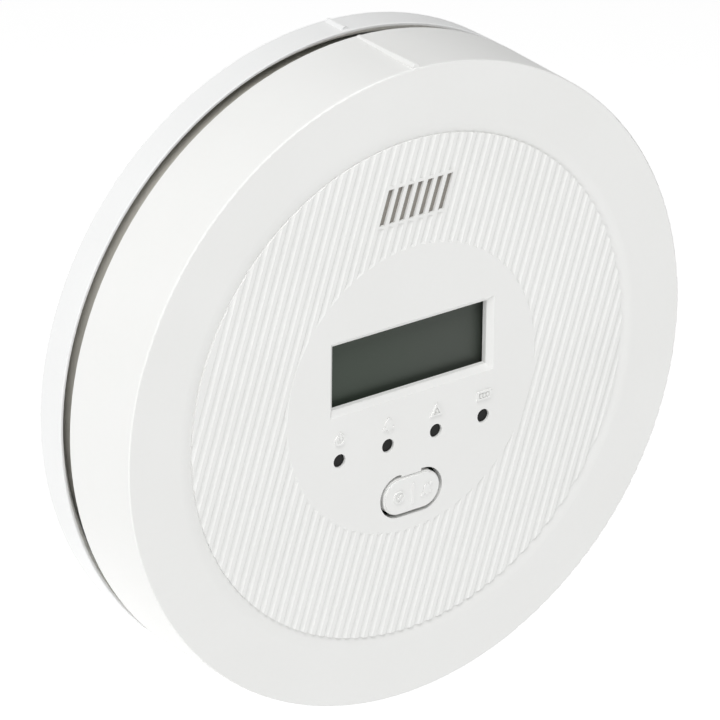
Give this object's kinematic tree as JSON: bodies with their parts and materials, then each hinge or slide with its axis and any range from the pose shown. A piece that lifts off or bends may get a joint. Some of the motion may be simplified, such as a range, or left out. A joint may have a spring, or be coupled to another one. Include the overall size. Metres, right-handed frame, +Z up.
{
  "type": "carbon monoxide detector",
  "caption": "Round wall-mounted carbon monoxide alarm: twist-on head with ribbed face, display window, indicator windows, sound slots and a test button.",
  "frame": {"origin": "centre of the mounting plate's wall face", "axes": "+Z up, -Y out of the wall towards the viewer, +X to the viewer's right"},
  "size_m": [0.121, 0.0264, 0.1216],
  "materials": {
    "plate_plastic": "fine matte moulded",
    "cover_plastic": "fine matte moulded",
    "housing_plastic": "plain moulded",
    "button_plastic": "fine matte moulded",
    "lcd_glass": "dark polarised display glass",
    "black_plastic": "matte",
    "diffuser_plastic": "milky",
    "contact_rubber": "striped elastomer",
    "smoked_plastic": "smoked clear",
    "led_resin": "milky resin",
    "board_laminate": "green solder mask",
    "screw_steel": "zinc plated",
    "mesh_steel": "woven wire",
    "foam_rubber": "closed cell foam",
    "brass": "rolled sheet",
    "piezo_ceramic": "silvered ceramic",
    "plated_steel": "nickel plated",
    "filter_cloth": "pressed fibre",
    "grey_felt": "pressed fibre",
    "gold_pin": "gold flash",
    "battery_sleeve": "shrunk film",
    "chip_resin": "moulded epoxy",
    "ferrite": "pressed ferrite",
    "copper_wire": "enamelled wire",
    "capacitor_sleeve": "shrunk film"
  },
  "bodies": {
    "wall_plate": {"mounting_plate": "plate_plastic"},
    "head": {"front_cover": "cover_plastic", "rear_housing": "housing_plastic", "battery_door": "housing_plastic", "lcd_glass": "lcd_glass", "lcd_frame": "black_plastic", "lcd_backlight": "diffuser_plastic", "lcd_contact_strips": "contact_rubber", "led_light_guide": "smoked_plastic", "led_power": "led_resin", "led_alarm": "led_resin", "led_fault": "led_resin", "led_battery": "led_resin", "tact_switch_base": "black_plastic", "main_board": "board_laminate", "board_screws": "screw_steel", "housing_screws": "screw_steel", "dust_felt": "grey_felt", "insect_mesh": "mesh_steel", "sounder_gasket": "foam_rubber", "sounder_housing": "black_plastic", "sounder_disc": "brass", "sounder_ceramic": "piezo_ceramic", "co_sensor_can": "plated_steel", "co_sensor_cap": "black_plastic", "co_sensor_filter": "filter_cloth", "co_sensor_pins": "gold_pin", "battery_cell": "battery_sleeve", "battery_cap": "plated_steel", "battery_spring": "plated_steel", "battery_negative_plate": "plated_steel", "battery_positive_plate": "plated_steel", "microcontroller": "chip_resin", "memory_chip": "chip_resin", "boost_coil_core": "ferrite", "boost_coil_winding": "copper_wire", "capacitors": "capacitor_sleeve", "crystal": "plated_steel"},
    "button": {"test_button": "button_plastic"},
    "switch_plunger": {"tact_switch_plunger": "black_plastic"}
  },
  "joints": [
    {"name": "head_twist", "type": "hinge", "parent": "wall_plate", "child": "head", "pos_m": [0, 0, 0], "axis": [0, -1, 0], "range_deg": [0, 15]},
    {"name": "button_press", "type": "slide", "parent": "head", "child": "button", "axis": [0, 1, 0], "range_m": [0, 0.00035], "stiffness_N_per_m": 2000},
    {"name": "plunger_travel", "type": "slide", "parent": "head", "child": "switch_plunger", "axis": [0, 1, 0], "range_m": [0, 0.0004]}
  ],
  "couplings": [
    {"joint": "plunger_travel", "follows": "button_press", "ratio": 1}
  ]
}
